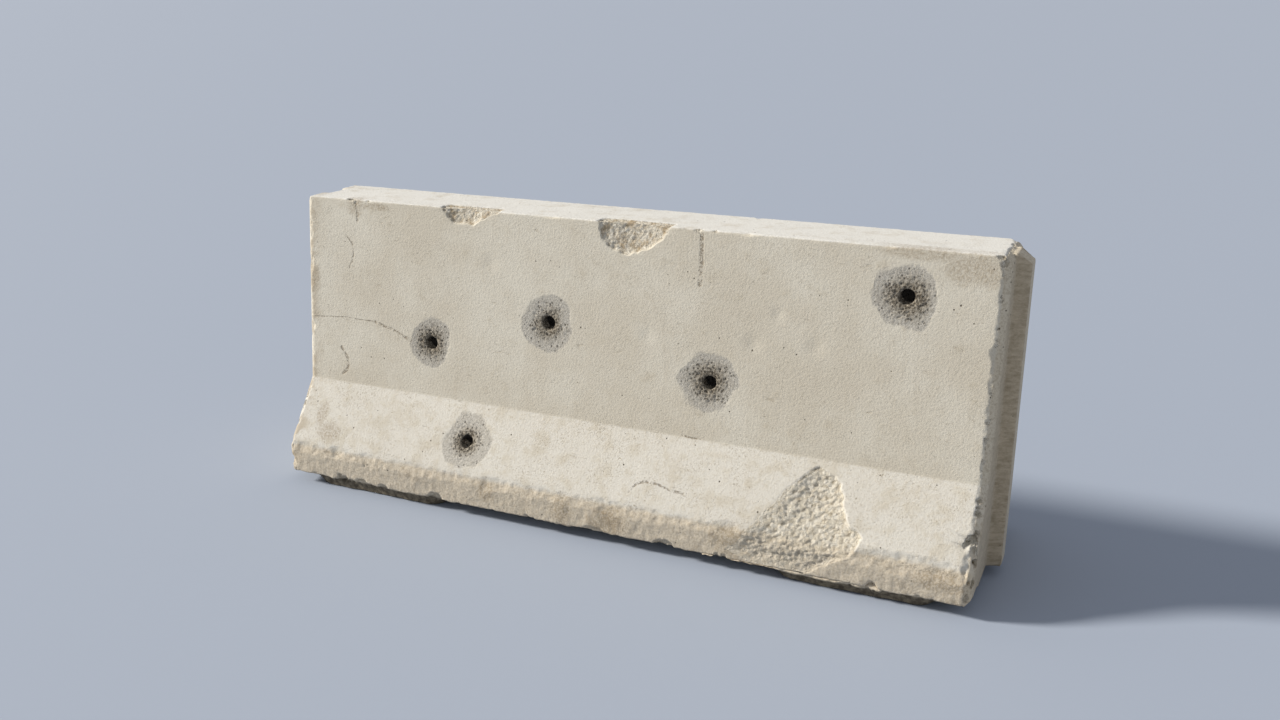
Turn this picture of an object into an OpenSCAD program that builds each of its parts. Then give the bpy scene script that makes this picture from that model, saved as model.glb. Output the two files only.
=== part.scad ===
// Precast concrete road barrier with a tongue and groove end joint.
// X runs along the barrier towards the tongue, Y across it and Z up.
// The origin is on the ground, under the middle of the whole casting.

/* [Casting] */
// Length of the body between its two end faces
body_len = 2000; // [1600:10:3000]
// Height of the top above the ground
height = 832; // [690:1:1000]
// Width across the two toes
base_w = 570; // [530:1:690]
// Width of the flat top
top_w = 210; // [190:1:260]
// Height of the feet below the underside
foot_h = 28; // [15:1:45]
// Height of the upright toe face
toe_h = 83; // [75:1:110]
// Height of the lower slope
slope_h = 180; // [160:1:210]
// Width lost on each side over the lower slope
slope_run = 124; // [105:1:140]
// Chamfer round both end faces
end_chamfer = 18; // [6:1:22]

/* [End joint] */
// How far the tongue stands out of its end face
tongue_out = 35; // [20:1:45]
// Width of the tongue where it meets the end face
tongue_base_w = 92; // [70:1:112]
// Width of the tongue at its tip
tongue_tip_w = 64; // [40:1:68]
// Drop of the tongue's top at its root
tongue_root_drop = 6; // [2:1:20]
// Drop of the tongue's top at its tip
tongue_tip_drop = 30; // [22:1:60]
// Clearance between the tongue and each side of the groove
groove_gap = 6; // [3:1:8]
// Clearance between the tongue's tip and the groove's floor
groove_end_gap = 5; // [3:1:10]

/* [Feet] */
// Length of the foot at the groove end
groove_foot_len = 500; // [250:1:560]
// Length of the foot at the tongue end
tongue_foot_len = 455; // [250:1:560]
// Distance from each end face to its foot
foot_end_inset = 58; // [20:1:100]
// Set-back of the feet from the toe faces
foot_inset = 12; // [6:1:30]
// Corner radius of the feet
foot_corner_r = 45; // [20:1:60]
// Taper of each foot's ends towards the ground
foot_end_taper = 40; // [0:1:60]
// Taper of each foot's sides towards the ground
foot_side_taper = 8; // [0:1:16]

/* [Reinforcement] */
// Concrete cover over the stirrups and links
cover = 40; // [33:1:50]
// Diameter of the stirrups, links and end bars
link_d = 10; // [8:1:12]
// Diameter of the long bars
long_d = 12; // [10:1:16]
// Bend radius of the stirrups at the bar's axis
bend_r = 32; // [28:1:36]
// Clear gap between two bars that cross
bar_gap = 1; // [1:0.5:2]
// Length of each leg of an end bar, in stirrup spacings
end_bar_reach = 1.5; // [1.2:0.1:2.4]

/* [Spacers] */
// Thickness of a wheel spacer
wheel_t = 14; // [10:1:20]
// Gap between a wheel spacer and the face that it keeps its bar from
wheel_gap = 3; // [2:1:8]
// Diameter of a bar chair at its foot
chair_d = 40; // [30:1:60]
// Diameter of a bar chair under its bar
chair_top_d = 22; // [16:1:28]

/* [Damage] */
// Width of the hole in the middle of an impact mark
hit_hole_d = 34; // [20:1:40]
// Depth of that hole
hit_hole_depth = 30; // [15:1:34]
// Width of the broken dish round it
hit_dish_d = 74; // [50:1:90]
// Depth of the broken dish
hit_dish_depth = 6; // [4:1:14]
// Depth of the broken patch on the toe
toe_spall_depth = 9; // [6:1:20]
// Depth of the broken patches along the top arris
top_spall_depth = 11; // [6:1:18]

/* [Hidden] */
$fn = 48;
far = 1200;
underside_z = foot_h;
toe_top_z = underside_z + toe_h;
waist_z = toe_top_z + slope_h;
base_half = base_w / 2;
waist_half = base_half - slope_run;
top_half = top_w / 2;
end_x = body_len / 2;
root_x = -tongue_out / 2;
// The two slopes run on this far above the waist, inside the stem
slope_crown = 30;

// Outward normals of the two inclined faces, in the plane of the section
stem_lean = atan2(waist_half - top_half, height - waist_z);
slope_lean = atan2(slope_run, slope_h);

groove_depth = tongue_out + groove_end_gap;
groove_floor_half = tongue_tip_w / 2 + groove_gap;
groove_mouth_half = tongue_base_w / 2 + groove_gap;

foot_w = base_w - 2 * foot_inset;
groove_foot_x = -end_x + foot_end_inset + groove_foot_len / 2;
tongue_foot_x = end_x - foot_end_inset - tongue_foot_len / 2;
// Each foot rises this far into the underside, and its sole is upright for as much
foot_root = 1;
// Angle between the points along a foot's round corner
corner_step = 15;

// Marks are placed by their share of the half length from the middle towards the tongue,
// and by their share of the way up their own face
stem_hits = [[-0.558, 0.285], [-0.182, 0.471], [0.289, 0.283], [0.770, 0.786]];
slope_hits = [[-0.404, 0.489]];
// Broken patches on the top arris: share along, radius
top_spalls = [[-0.452, 62], [0.060, 96]];
// Broken patches on the lower slope: share along, share up, radius
toe_spalls = [[0.615, 0.522, 78], [0.620, 0.133, 112], [0.485, -0.061, 78]];

// Axis of a stirrup lies this far inside the faces
axis_in = cover + link_d / 2;
// Distance between the axes of a long bar and a link that it touches
tie_dist = (long_d + link_d) / 2 + bar_gap;
link_step = link_d + bar_gap;
// A bend is this much thicker than its bar, and the bar runs this far into it
bend_swell = 0.1;
bend_lap = 1;

stirrup_top_z = height - axis_in;
link_bottom_z = underside_z + axis_in;
// The slopes' cover is measured squarely to them, so the links may rise nearer to the waist
link_top_share = 0.9;
link_top_z = waist_z - link_top_share * axis_in;
groove_end_bar_x = -(end_x - groove_depth - cover);
tongue_end_bar_x = end_x - cover;

// The outer stirrups stand this far behind the end bar at the groove
stirrup_count = 9;
stirrup_end_gap = 32;
first_stirrup_x = groove_end_bar_x + stirrup_end_gap;
stirrup_pitch = -2 * first_stirrup_x / (stirrup_count - 1);
end_bar_leg = end_bar_reach * stirrup_pitch;

// Heights of the end bars and of the stem's long bars
upper_u_drop = 150;
stem_bar_drop = 272;
middle_u_drop = 390;
lower_u_rise = 150;
upper_u_z = height - upper_u_drop;
stem_bar_z = height - stem_bar_drop;
middle_u_z = height - middle_u_drop;
lower_u_z = underside_z + lower_u_rise;
waist_bar_z = link_top_z - tie_dist;
base_bar_z = link_bottom_z + tie_dist;
top_bar_shift = (bend_r - tie_dist) * sin(45);

chair_base_gap = 1;
chair_base_z = underside_z + chair_base_gap;
chair_inset = 115;
chair_y = base_half - chair_inset;
chair_links = [3, 4, 5];

// Wheels sit half way between the stem's long bars and the middle end bars
wheel_stirrups = [1, 4, 7];
wheel_d = 2 * (axis_in - wheel_gap);
wheel_z = (stem_bar_z + middle_u_z) / 2;
// The openings between a wheel's spokes follow its size
wheel_spokes = 4;
spoke_gap_d = 0.24 * wheel_d;
spoke_gap_r = 0.29 * wheel_d;
// What is cut away starts or ends this far outside the solid
past = 1;

function numbered(name, count) = [for (i = [1 : count]) str(name, i)];

// ---- Sizes that follow the section ----

// Half width of the stem's face at height z, carried on below the waist
function stem_half(z) = top_half + (height - z) * tan(stem_lean);
// Half width of the lower slope at height z
function slope_half(z) = base_half - (z - toe_top_z) * tan(slope_lean);
// Axis of a stirrup's leg at height z
function leg_y(z) = stem_half(z) - axis_in / cos(stem_lean);
// Axis of a base link's side at height z
function link_y(z) = slope_half(z) - axis_in / cos(slope_lean);
function stirrup_x(i) = first_stirrup_x + i * stirrup_pitch;
function link_x(i) = stirrup_x(i) + (stirrup_x(i) < 0 ? link_step : -link_step);

// ---- Helpers ----

// Places what is drawn about the body's middle into the part's own frame
module placed() {
    translate([root_x, 0, 0]) children();
}

// Stands an outline of the section up and runs it along the barrier
module along_barrier(length) {
    rotate([90, 0, 90])
        linear_extrude(height = length, center = true)
            children();
}

// Everything beyond the chamfer plane of one edge of the section
module chamfer_cut(point, lean, end) {
    translate([end * (end_x - end_chamfer), point[0], point[1]])
        rotate([lean, 0, 0])
            rotate([0, 0, end > 0 ? 45 : 135])
                translate([0, -far, -far])
                    cube([far, 2 * far, 2 * far]);
}

// One straight length of bar in the XY plane, lapped into the bends at its ends
module bar_length(from, to, d, lap_from, lap_to) {
    run = to - from;
    translate([from[0], from[1], 0])
        rotate([0, 0, atan2(run[1], run[0])])
            translate([-lap_from, 0, 0])
                rotate([0, 90, 0])
                    cylinder(h = norm(run) + lap_from + lap_to, d = d);
}

function unit(v) = v / norm(v);
function turn(u, v) = atan2(u[0] * v[1] - u[1] * v[0], u * v);
function setback(u, v, r) = r * tan(abs(turn(u, v)) / 2);

// One bend in the XY plane, between directions u and v at a corner
module bar_bend(corner, u, v, r, d) {
    a = turn(u, v);
    side = a > 0 ? 1 : -1;
    inward = side * [-u[1], u[0]];
    centre = corner - u * setback(u, v, r) + inward * r;
    start = atan2(-inward[1], -inward[0]);
    translate([centre[0], centre[1], 0])
        rotate([0, 0, a > 0 ? start : start + a])
            rotate_extrude(angle = abs(a))
                translate([r, 0])
                    circle(d = d + bend_swell);
}

// A bar bent to an open path in the XY plane
module open_bar(path, r, d) {
    last = len(path) - 1;
    for (i = [0 : last - 1]) {
        here = unit(path[i + 1] - path[i]);
        before = i > 0 ? setback(unit(path[i] - path[i - 1]), here, r) : 0;
        after = i < last - 1 ? setback(here, unit(path[i + 2] - path[i + 1]), r) : 0;
        bar_length(path[i] + here * before, path[i + 1] - here * after, d,
            i > 0 ? bend_lap : 0, i < last - 1 ? bend_lap : 0);
    }
    for (i = [1 : last - 1])
        bar_bend(path[i], unit(path[i] - path[i - 1]), unit(path[i + 1] - path[i]), r, d);
}

// A bar bent to a closed path in the XY plane
module closed_bar(path, r, d) {
    n = len(path);
    for (i = [0 : n - 1]) {
        u = unit(path[i] - path[(i + n - 1) % n]);
        v = unit(path[(i + 1) % n] - path[i]);
        w = unit(path[(i + 2) % n] - path[(i + 1) % n]);
        bar_bend(path[i], u, v, r, d);
        bar_length(path[i] + v * setback(u, v, r), path[(i + 1) % n] - v * setback(v, w, r), d,
            bend_lap, bend_lap);
    }
}

// ---- Reinforcement ----

// Inverted U that follows the stem from the base to the top
module stem_stirrup(i) {
    foot_z = link_bottom_z;
    path = [
        [-leg_y(foot_z), foot_z],
        [-leg_y(stirrup_top_z), stirrup_top_z],
        [leg_y(stirrup_top_z), stirrup_top_z],
        [leg_y(foot_z), foot_z]
    ];
    color([0.45, 0.30, 0.22])
        placed()
            translate([stirrup_x(i), 0, 0])
                rotate([90, 0, 90])
                    open_bar(path, bend_r, link_d);
}

// Closed link that follows the two lower slopes
module base_link(i) {
    path = [
        [link_y(link_bottom_z), link_bottom_z],
        [link_y(link_top_z), link_top_z],
        [-link_y(link_top_z), link_top_z],
        [-link_y(link_bottom_z), link_bottom_z]
    ];
    color([0.48, 0.32, 0.23])
        placed()
            translate([link_x(i), 0, 0])
                rotate([90, 0, 90])
                    closed_bar(path, bend_r, link_d);
}

// Straight bar along the barrier
module long_bar(y, z) {
    color([0.42, 0.29, 0.22])
        placed()
            translate([groove_end_bar_x, y, z])
                rotate([0, 90, 0])
                    cylinder(h = tongue_end_bar_x - groove_end_bar_x, d = long_d);
}

// Lies in the bend at the top corner of the stirrups
module top_bar(side) {
    bend_z = stirrup_top_z - bend_r;
    bend_y = leg_y(bend_z) - bend_r / cos(stem_lean);
    long_bar(side * (bend_y + top_bar_shift), bend_z + top_bar_shift);
}

module stem_bar(side) {
    long_bar(side * (leg_y(stem_bar_z) - tie_dist), stem_bar_z);
}

module waist_bar(side) {
    long_bar(side * (leg_y(waist_bar_z) - tie_dist), waist_bar_z);
}

module base_bar(side) {
    long_bar(side * (leg_y(base_bar_z) - tie_dist), base_bar_z);
}

// Lies in the bend at the bottom corner of the links
module toe_bar(side) {
    bend_z = link_bottom_z + bend_r;
    bend = [link_y(bend_z) - bend_r / cos(slope_lean), bend_z];
    corner = [link_y(link_bottom_z), link_bottom_z];
    place = bend + unit(corner - bend) * (bend_r - tie_dist);
    long_bar(side * place[0], place[1]);
}

// Flat U bar that closes one end of the stem at height z
module end_u_bar(z, end) {
    y = leg_y(z) - link_step;
    tip = end > 0 ? tongue_end_bar_x : groove_end_bar_x;
    tail = tip - end * end_bar_leg;
    color([0.50, 0.33, 0.24])
        placed()
            translate([0, 0, z])
                open_bar([[tail, -y], [tip, -y], [tip, y], [tail, y]], bend_r, link_d);
}

// ---- Spacers ----

// Plastic wheel clipped on a stirrup's leg, reaching almost to the face
module wheel_spacer(i, side) {
    translate([stirrup_x(i), side * leg_y(wheel_z), wheel_z])
        rotate([side * stem_lean, 0, 0])
            difference() {
                cylinder(h = wheel_t, d = wheel_d, center = true);
                cylinder(h = wheel_t + 2 * past, d = link_d, center = true);
                for (k = [0 : wheel_spokes - 1])
                    rotate([0, 0, (k + 0.5) * 360 / wheel_spokes])
                        translate([spoke_gap_r, 0, 0])
                            cylinder(h = wheel_t + 2 * past, d = spoke_gap_d, center = true);
            }
}

module wheel_spacers() {
    color([0.25, 0.27, 0.30])
        placed()
            for (i = wheel_stirrups, side = [-1, 1])
                wheel_spacer(i, side);
}

// Plastic cone that carries the bottom of a base link
module bar_chair(i, side) {
    translate([link_x(i), side * chair_y, chair_base_z])
        cylinder(h = link_bottom_z - chair_base_z, d1 = chair_d, d2 = chair_top_d);
}

module bar_chairs() {
    color([0.30, 0.32, 0.35])
        difference() {
            placed()
                for (i = chair_links, side = [-1, 1])
                    bar_chair(i, side);
            placed()
                for (i = chair_links)
                    translate([link_x(i), 0, link_bottom_z])
                        rotate([90, 0, 0])
                            cylinder(h = base_w / 2 + chair_y, d = link_d, center = true);
        }
}

// ---- Concrete ----

// Outline of the stem, carried down to the underside
module stem_outline() {
    foot_half = stem_half(underside_z);
    polygon([
        [-foot_half, underside_z],
        [foot_half, underside_z],
        [top_half, height],
        [-top_half, height]
    ]);
}

// Outline of the spread base, its slopes carried on into the stem
module base_outline() {
    crown_z = waist_z + slope_crown;
    crown_half = slope_half(crown_z);
    polygon([
        [-base_half, underside_z],
        [base_half, underside_z],
        [base_half, toe_top_z],
        [crown_half, crown_z],
        [-crown_half, crown_z],
        [-base_half, toe_top_z]
    ]);
}

module stem() {
    difference() {
        along_barrier(body_len) stem_outline();
        for (end = [-1, 1]) {
            chamfer_cut([top_half, height], stem_lean, end);
            chamfer_cut([-top_half, height], 180 - stem_lean, end);
            chamfer_cut([0, height], 90, end);
        }
    }
}

module base() {
    difference() {
        along_barrier(body_len) base_outline();
        for (end = [-1, 1]) {
            chamfer_cut([base_half, toe_top_z], slope_lean, end);
            chamfer_cut([-base_half, toe_top_z], 180 - slope_lean, end);
            chamfer_cut([base_half, toe_top_z], 0, end);
            chamfer_cut([-base_half, toe_top_z], 180, end);
            chamfer_cut([0, underside_z], -90, end);
        }
    }
}

// Plan of the tongue, or of the groove when it is widened
module key_plan(root_half, tip_half, out) {
    polygon([[0, -root_half], [out, -tip_half], [out, tip_half], [0, root_half]]);
}

module tongue() {
    drop_angle = atan2(tongue_tip_drop - tongue_root_drop, tongue_out);
    translate([end_x, 0, 0])
        difference() {
            union() {
                translate([0, 0, underside_z])
                    linear_extrude(height = height - underside_z)
                        key_plan(tongue_base_w / 2, tongue_tip_w / 2, tongue_out);
                translate([-end_chamfer, -tongue_base_w / 2, underside_z])
                    cube([end_chamfer, tongue_base_w, height - tongue_root_drop - underside_z]);
            }
            translate([0, 0, height - tongue_root_drop])
                rotate([0, drop_angle, 0])
                    translate([-tongue_out, -base_w / 2, 0])
                        cube([base_w, base_w, base_w]);
        }
}

module groove() {
    translate([-end_x, 0, -past])
        linear_extrude(height = height + 2 * past) {
            key_plan(groove_mouth_half, groove_floor_half, groove_depth);
            translate([-past, -groove_mouth_half])
                square([past, 2 * groove_mouth_half]);
        }
}

// Outline of a rectangle with round corners
function corner_arc(cx, cy, r, from) =
    [for (a = [0 : corner_step : 90]) [cx + r * cos(from + a), cy + r * sin(from + a)]];
function rounded_rect(l, w, r) = concat(
    corner_arc(l / 2 - r, w / 2 - r, r, 0),
    corner_arc(-l / 2 + r, w / 2 - r, r, 90),
    corner_arc(-l / 2 + r, -w / 2 + r, r, 180),
    corner_arc(l / 2 - r, -w / 2 + r, r, 270)
);

// One foot, tapered from the underside to its sole
module foot(x, length) {
    sole_len = length - 2 * foot_end_taper;
    sole_w = foot_w - 2 * foot_side_taper;
    translate([x, 0, 0])
        hull() {
            linear_extrude(height = foot_root)
                polygon(rounded_rect(sole_len, sole_w, foot_corner_r));
            translate([0, 0, underside_z])
                linear_extrude(height = foot_root)
                    polygon(rounded_rect(length, foot_w, foot_corner_r));
        }
}

module feet() {
    foot(groove_foot_x, groove_foot_len);
    foot(tongue_foot_x, tongue_foot_len);
}

// Hole and broken dish of an impact, cut into a face whose normal is +Z
module impact() {
    translate([0, 0, -hit_hole_depth])
        cylinder(h = hit_hole_depth + past, d = hit_hole_d);
    translate([0, 0, -hit_dish_depth])
        cylinder(h = hit_dish_depth + past, d1 = hit_hole_d, d2 = hit_dish_d);
}

// Shallow round break of radius r in a face whose normal is +Z
module spall(r, depth) {
    ball_r = (r * r + depth * depth) / (2 * depth);
    intersection() {
        translate([0, 0, ball_r - depth])
            rotate([0, -90, 0])
                sphere(r = ball_r, $fn = 2 * $fn);
        // Only the ball's lowest cap cuts, so that it misses the faces beyond the patch
        translate([0, 0, -2 * depth])
            cylinder(h = 2 * depth + past, r = 2 * r);
    }
}

// Puts a cut on the front face of the stem, at a share of the way along and up it
module on_stem(along, up) {
    z = waist_z + up * (height - waist_z);
    translate([along * end_x, -stem_half(z), z])
        rotate([90 - stem_lean, 0, 0])
            children();
}

// Puts a cut on the front lower slope in the same way
module on_slope(along, up) {
    z = toe_top_z + up * slope_h;
    translate([along * end_x, -slope_half(z), z])
        rotate([90 - slope_lean, 0, 0])
            children();
}

module damage() {
    for (hit = stem_hits)
        on_stem(hit[0], hit[1]) impact();
    for (hit = slope_hits)
        on_slope(hit[0], hit[1]) impact();
    for (patch = top_spalls)
        on_stem(patch[0], 1) spall(patch[1], top_spall_depth);
    for (patch = toe_spalls)
        on_slope(patch[0], patch[1]) spall(patch[2], toe_spall_depth);
}

// Everything that is cast into the concrete
module reinforcement() {
    for (i = [0 : stirrup_count - 1]) {
        stem_stirrup(i);
        base_link(i);
    }
    for (side = [-1, 1]) {
        top_bar(side);
        stem_bar(side);
        waist_bar(side);
        toe_bar(side);
        base_bar(side);
    }
    for (end = [-1, 1], z = [upper_u_z, middle_u_z, lower_u_z])
        end_u_bar(z, end);
    wheel_spacers();
    bar_chairs();
}

module concrete_body() {
    color([0.78, 0.74, 0.67])
        difference() {
            placed()
                difference() {
                    union() {
                        stem();
                        base();
                        tongue();
                        feet();
                    }
                    groove();
                    damage();
                }
            reinforcement();
        }
}

concrete_body();
for (i = [0 : stirrup_count - 1]) {
    stem_stirrup(i);
    base_link(i);
}
top_bar(-1);  // top_bar_front
top_bar(1);  // top_bar_rear
stem_bar(-1);  // stem_bar_front
stem_bar(1);  // stem_bar_rear
waist_bar(-1);  // waist_bar_front
waist_bar(1);  // waist_bar_rear
toe_bar(-1);  // toe_bar_front
toe_bar(1);  // toe_bar_rear
base_bar(-1);  // base_bar_front
base_bar(1);  // base_bar_rear
end_u_bar(upper_u_z, 1);  // tongue_u_bar_upper
end_u_bar(middle_u_z, 1);  // tongue_u_bar_middle
end_u_bar(lower_u_z, 1);  // tongue_u_bar_lower
end_u_bar(upper_u_z, -1);  // groove_u_bar_upper
end_u_bar(middle_u_z, -1);  // groove_u_bar_middle
end_u_bar(lower_u_z, -1);  // groove_u_bar_lower
wheel_spacers();
bar_chairs();
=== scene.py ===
import math

import bmesh
import bpy
import numpy as np
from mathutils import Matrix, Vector


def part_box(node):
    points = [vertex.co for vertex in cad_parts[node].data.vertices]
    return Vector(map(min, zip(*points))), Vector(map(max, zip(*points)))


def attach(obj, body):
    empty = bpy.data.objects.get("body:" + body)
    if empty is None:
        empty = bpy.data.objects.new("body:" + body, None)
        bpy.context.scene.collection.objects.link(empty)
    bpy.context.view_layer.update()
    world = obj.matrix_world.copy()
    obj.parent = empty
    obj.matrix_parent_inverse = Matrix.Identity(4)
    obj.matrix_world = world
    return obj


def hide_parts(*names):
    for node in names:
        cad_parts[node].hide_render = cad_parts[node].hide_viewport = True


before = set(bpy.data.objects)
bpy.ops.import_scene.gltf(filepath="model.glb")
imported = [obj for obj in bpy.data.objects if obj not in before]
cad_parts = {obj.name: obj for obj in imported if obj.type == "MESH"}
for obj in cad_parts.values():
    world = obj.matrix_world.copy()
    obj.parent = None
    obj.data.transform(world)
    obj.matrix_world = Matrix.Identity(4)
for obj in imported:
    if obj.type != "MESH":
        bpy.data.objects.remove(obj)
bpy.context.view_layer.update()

# ---- The casting, in metres ----

LOW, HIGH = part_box("concrete_body")
HEIGHT = HIGH.z
BASE_HALF = HIGH.y
TOP_HALF = 0.105
UNDERSIDE = 0.028
TOE_TOP = 0.111
WAIST = 0.291
SLOPE_RUN = 0.124
WAIST_HALF = BASE_HALF - SLOPE_RUN
END_CHAMFER = 0.018
TONGUE_OUT = 0.035
GROOVE_END = LOW.x
TONGUE_END = HIGH.x - TONGUE_OUT
MIDDLE = (GROOVE_END + TONGUE_END) / 2
BODY_HALF = (TONGUE_END - GROOVE_END) / 2
STEM_LEAN = math.atan2(WAIST_HALF - TOP_HALF, HEIGHT - WAIST)
SLOPE_LEAN = math.atan2(SLOPE_RUN, WAIST - TOE_TOP)

# A distance past everything on the casting
FAR = 9.0

# Impact marks: distance from the middle of the body, height, reach, dark share, lean of the face
MARKS = [
    (-0.558, 0.445, 0.072, 0.98, STEM_LEAN),
    (-0.182, 0.546, 0.078, 0.78, STEM_LEAN),
    (0.289, 0.444, 0.078, 0.95, STEM_LEAN),
    (0.770, 0.716, 0.083, 0.92, STEM_LEAN),
    (-0.404, 0.199, 0.076, 0.70, SLOPE_LEAN),
]

# Stains: distance from the middle, height, half length, half height
STAINS = [
    (0.405, 0.085, 0.060, 0.050), (0.070, 0.070, 0.050, 0.045), (-0.075, 0.075, 0.035, 0.050),
    (-0.310, 0.085, 0.030, 0.035), (0.930, 0.085, 0.070, 0.030), (-0.905, 0.205, 0.020, 0.035),
    (-0.860, 0.160, 0.045, 0.030), (-0.820, 0.815, 0.035, 0.030), (-0.760, 0.815, 0.060, 0.012),
    (0.800, 0.822, 0.120, 0.020), (0.920, 0.795, 0.080, 0.045), (-0.970, 0.590, 0.024, 0.050),
]

# Outline of the big broken patch on the lower slope: distance from the middle, height
TOE_PATCH = [
    (0.383, 0.062), (0.412, 0.072), (0.453, 0.132), (0.502, 0.192), (0.553, 0.246),
    (0.597, 0.278), (0.640, 0.264), (0.676, 0.222), (0.690, 0.160), (0.732, 0.146),
    (0.704, 0.104), (0.646, 0.070), (0.600, 0.034), (0.470, 0.034),
]

# Outlines of the broken stretches of the front top arris, in the same way
TOP_BREAKS = [
    [
        (-0.536, 0.850), (-0.528, 0.826), (-0.508, 0.803), (-0.465, 0.790),
        (-0.423, 0.791), (-0.380, 0.811), (-0.348, 0.829), (-0.330, 0.850),
    ],
    [
        (-0.050, 0.850), (-0.043, 0.826), (-0.030, 0.784), (0.000, 0.756), (0.047, 0.748),
        (0.099, 0.769), (0.140, 0.796), (0.158, 0.822), (0.166, 0.850),
    ],
]

# Thin cracks and scratches of the front: points along each, width
CRACKS = [
    ([(-0.853, 0.727), (-0.832, 0.706), (-0.825, 0.680), (-0.830, 0.655), (-0.842, 0.633)], 0.0034),
    ([(-0.971, 0.477), (-0.860, 0.486), (-0.753, 0.484)], 0.0018),
    ([(-0.753, 0.484), (-0.690, 0.468), (-0.627, 0.443)], 0.0056),
    (
        [
            (-0.873, 0.395), (-0.862, 0.381), (-0.851, 0.364),
            (-0.848, 0.347), (-0.855, 0.328), (-0.870, 0.316),
        ],
        0.0065,
    ),
    ([(0.249, 0.818), (0.251, 0.781), (0.251, 0.690)], 0.0080),
    (
        [
            (0.113, 0.152), (0.128, 0.172), (0.152, 0.182),
            (0.185, 0.181), (0.224, 0.172), (0.262, 0.170),
        ],
        0.0036,
    ),
    ([(0.223, 0.296), (0.250, 0.292), (0.276, 0.293)], 0.0030),
    ([(-0.818, 0.822), (-0.812, 0.796), (-0.812, 0.772)], 0.0060),
]

# Soft rises and hollows of the face: distance from the middle, height, size, depth
BLISTERS = [
    (0.400, 0.560, 0.042, 0.0020),
    (0.460, 0.640, 0.030, 0.0016),
    (0.560, 0.570, 0.040, 0.0018),
    (-0.365, 0.690, 0.040, 0.0016),
    (0.110, 0.545, 0.036, 0.0014),
]

# Larger chips of the front: distance from the middle, place across, height, size
CHIPS = [
    (-0.835, -0.108, 0.836, 0.014), (-0.820, -0.112, 0.826, 0.010),
    (0.243, -0.108, 0.834, 0.012), (0.232, -0.110, 0.832, 0.009),
    (-0.800, -0.286, 0.026, 0.024), (-0.775, -0.286, 0.022, 0.020),
    (-0.660, -0.288, 0.024, 0.020), (-0.480, -0.286, 0.028, 0.024), (-0.500, -0.286, 0.020, 0.026),
    (0.215, -0.288, 0.032, 0.018), (0.238, -0.288, 0.036, 0.016), (-0.713, -0.292, 0.094, 0.012),
    (0.985, -0.232, 0.182, 0.015), (0.974, -0.236, 0.170, 0.012), (0.992, -0.240, 0.160, 0.012),
    (0.990, -0.112, 0.822, 0.016), (0.976, -0.110, 0.830, 0.012), (0.984, -0.114, 0.806, 0.012),
]

# Edge of the even mesh's cells, and the most triangles that the casting keeps
VOXEL = 0.0036
TRIANGLES = 190000


# ---- Random values that are the same each run ----

def scatter(i, j, k, seed):
    """One random value from 0 to 1 for each cell of a lattice."""
    n = (i * 374761393 + j * 668265263 + k * 1440662683 + seed * 974634777) & 0xFFFFFFFF
    n = ((n ^ (n >> 13)) * 1274126177) & 0xFFFFFFFF
    return ((n ^ (n >> 16)) & 0xFFFFFF) / float(0xFFFFFF)


def noise(points, size, seed=0):
    """Smooth random values from -1 to 1 that change over about `size`."""
    spread = points / size
    cell = np.floor(spread).astype(np.int64)
    t = spread - cell
    t = t * t * (3 - 2 * t)
    total = 0
    for a in (0, 1):
        for b in (0, 1):
            for c in (0, 1):
                share = (t[:, 0] if a else 1 - t[:, 0]) * (t[:, 1] if b else 1 - t[:, 1])
                share = share * (t[:, 2] if c else 1 - t[:, 2])
                total = total + share * scatter(cell[:, 0] + a, cell[:, 1] + b, cell[:, 2] + c, seed)
    return total * 2 - 1


def rough(points, size, octaves=3, seed=0):
    """Noise at several sizes, each half as large and half as strong as the one before."""
    return sum(noise(points, size / 2 ** n, seed + n) / 2 ** n for n in range(octaves)) / 1.5


def pebbles(points, size, seed=0):
    """Distance to the nearest of many random centres, as a share of `size`."""
    spread = points / size
    cell = np.floor(spread).astype(np.int64)
    nearest = np.full(len(points), FAR)
    for a in (-1, 0, 1):
        for b in (-1, 0, 1):
            for c in (-1, 0, 1):
                i, j, k = cell[:, 0] + a, cell[:, 1] + b, cell[:, 2] + c
                centre = np.stack([
                    i + scatter(i, j, k, seed),
                    j + scatter(i, j, k, seed + 1),
                    k + scatter(i, j, k, seed + 2),
                ], axis=1)
                nearest = np.minimum(nearest, np.linalg.norm(spread - centre, axis=1))
    return nearest


def ramp(value, start, end):
    """0 before start, 1 after end, smooth between."""
    t = np.clip((value - start) / (end - start), 0, 1)
    return t * t * (3 - 2 * t)


# ---- The mesh of the casting ----

def outer_skin(node, voxel):
    """An even mesh over the outside of a node, without the channels that its bars lie in."""
    bm = bmesh.new()
    bm.from_mesh(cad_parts[node].data)
    bmesh.ops.remove_doubles(bm, verts=bm.verts, dist=1e-6)
    waiting = [min(bm.verts, key=lambda v: v.co.x)]
    outside = set(waiting)
    while waiting:
        for edge in waiting.pop().link_edges:
            for v in edge.verts:
                if v not in outside:
                    outside.add(v)
                    waiting.append(v)
    bmesh.ops.delete(bm, geom=[v for v in bm.verts if v not in outside], context="VERTS")
    mesh = bpy.data.meshes.new("outer_skin")
    bm.to_mesh(mesh)
    bm.free()
    piece = bpy.data.objects.new("outer_skin", mesh)
    bpy.context.scene.collection.objects.link(piece)
    remesh = piece.modifiers.new("even", "REMESH")
    remesh.mode = "VOXEL"
    remesh.voxel_size = voxel
    return applied(piece)


def applied(piece):
    """Turns a piece's modifiers into its own plain mesh."""
    ready = piece.evaluated_get(bpy.context.evaluated_depsgraph_get())
    mesh = bpy.data.meshes.new_from_object(ready)
    piece.modifiers.clear()
    piece.data = mesh
    return piece


def points_of(mesh):
    flat = np.empty(len(mesh.vertices) * 3, np.float32)
    mesh.vertices.foreach_get("co", flat)
    return flat.reshape(-1, 3).astype(float)


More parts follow.
